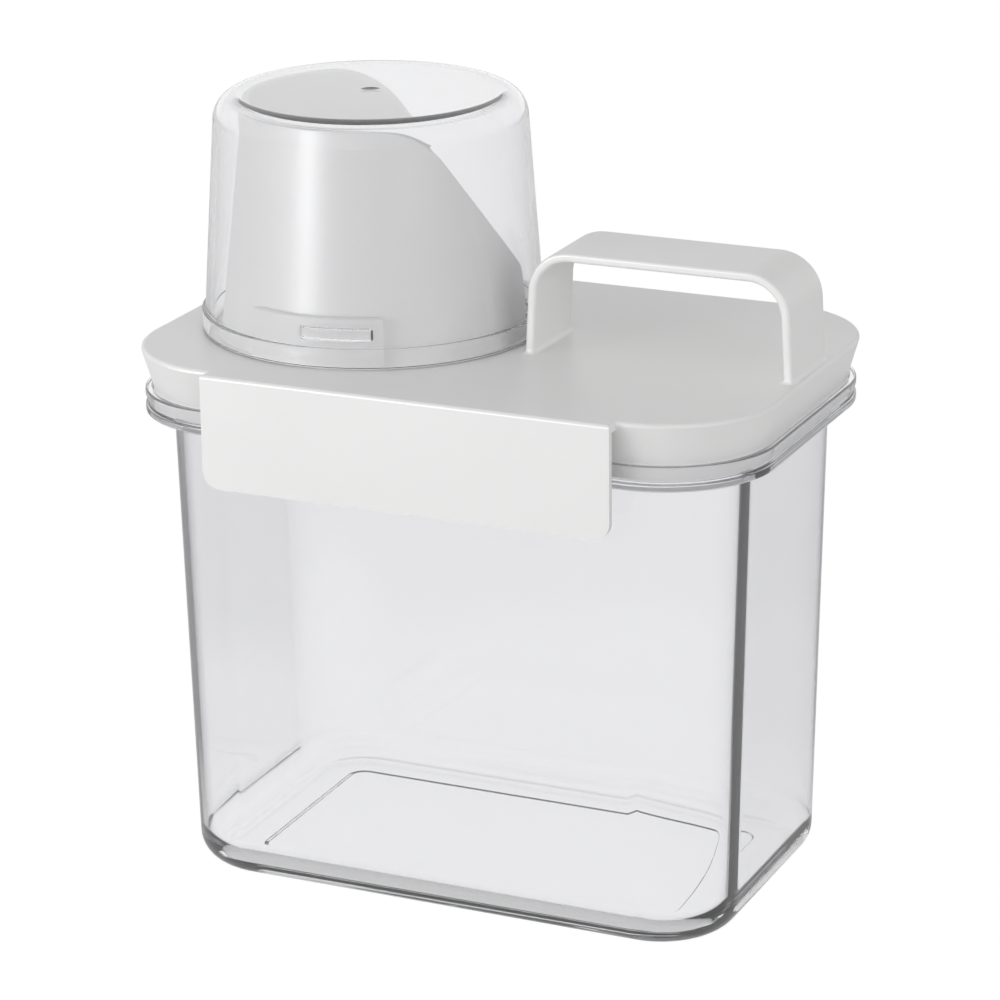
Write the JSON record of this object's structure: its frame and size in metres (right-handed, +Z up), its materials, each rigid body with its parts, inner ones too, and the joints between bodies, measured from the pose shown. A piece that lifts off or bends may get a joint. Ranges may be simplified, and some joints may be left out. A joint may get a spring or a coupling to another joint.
{
  "type": "detergent dispenser",
  "caption": "Clear upright tub for powder, closed by a white lid with a slanted pouring spout, strap handle and label plate, under a clear measuring cup that lifts off.",
  "frame": {"origin": "middle of the tub's underside, in the plane of the ring that it stands on", "axes": "+Z up; X runs along the label plate, with the spout at -X and the handle at +X; -Y is the side that the label plate faces"},
  "size_m": [0.1834, 0.1243, 0.2177],
  "materials": {
    "clear_plastic": "clear and polished",
    "white_plastic": "satin white",
    "soft_seal": "matt, soft"
  },
  "bodies": {
    "tub": {"tub": "clear_plastic"},
    "lid": {"lid": "white_plastic", "lid_seal": "soft_seal"},
    "cup": {"measuring_cup": "clear_plastic"}
  },
  "joints": [
    {"name": "lid_lift", "type": "slide", "parent": "tub", "child": "lid", "axis": [0, 0, 1], "range_m": [0, 0.05]},
    {"name": "cup_lift", "type": "slide", "parent": "lid", "child": "cup", "axis": [0, 0, 1], "range_m": [0, 0.07]}
  ]
}
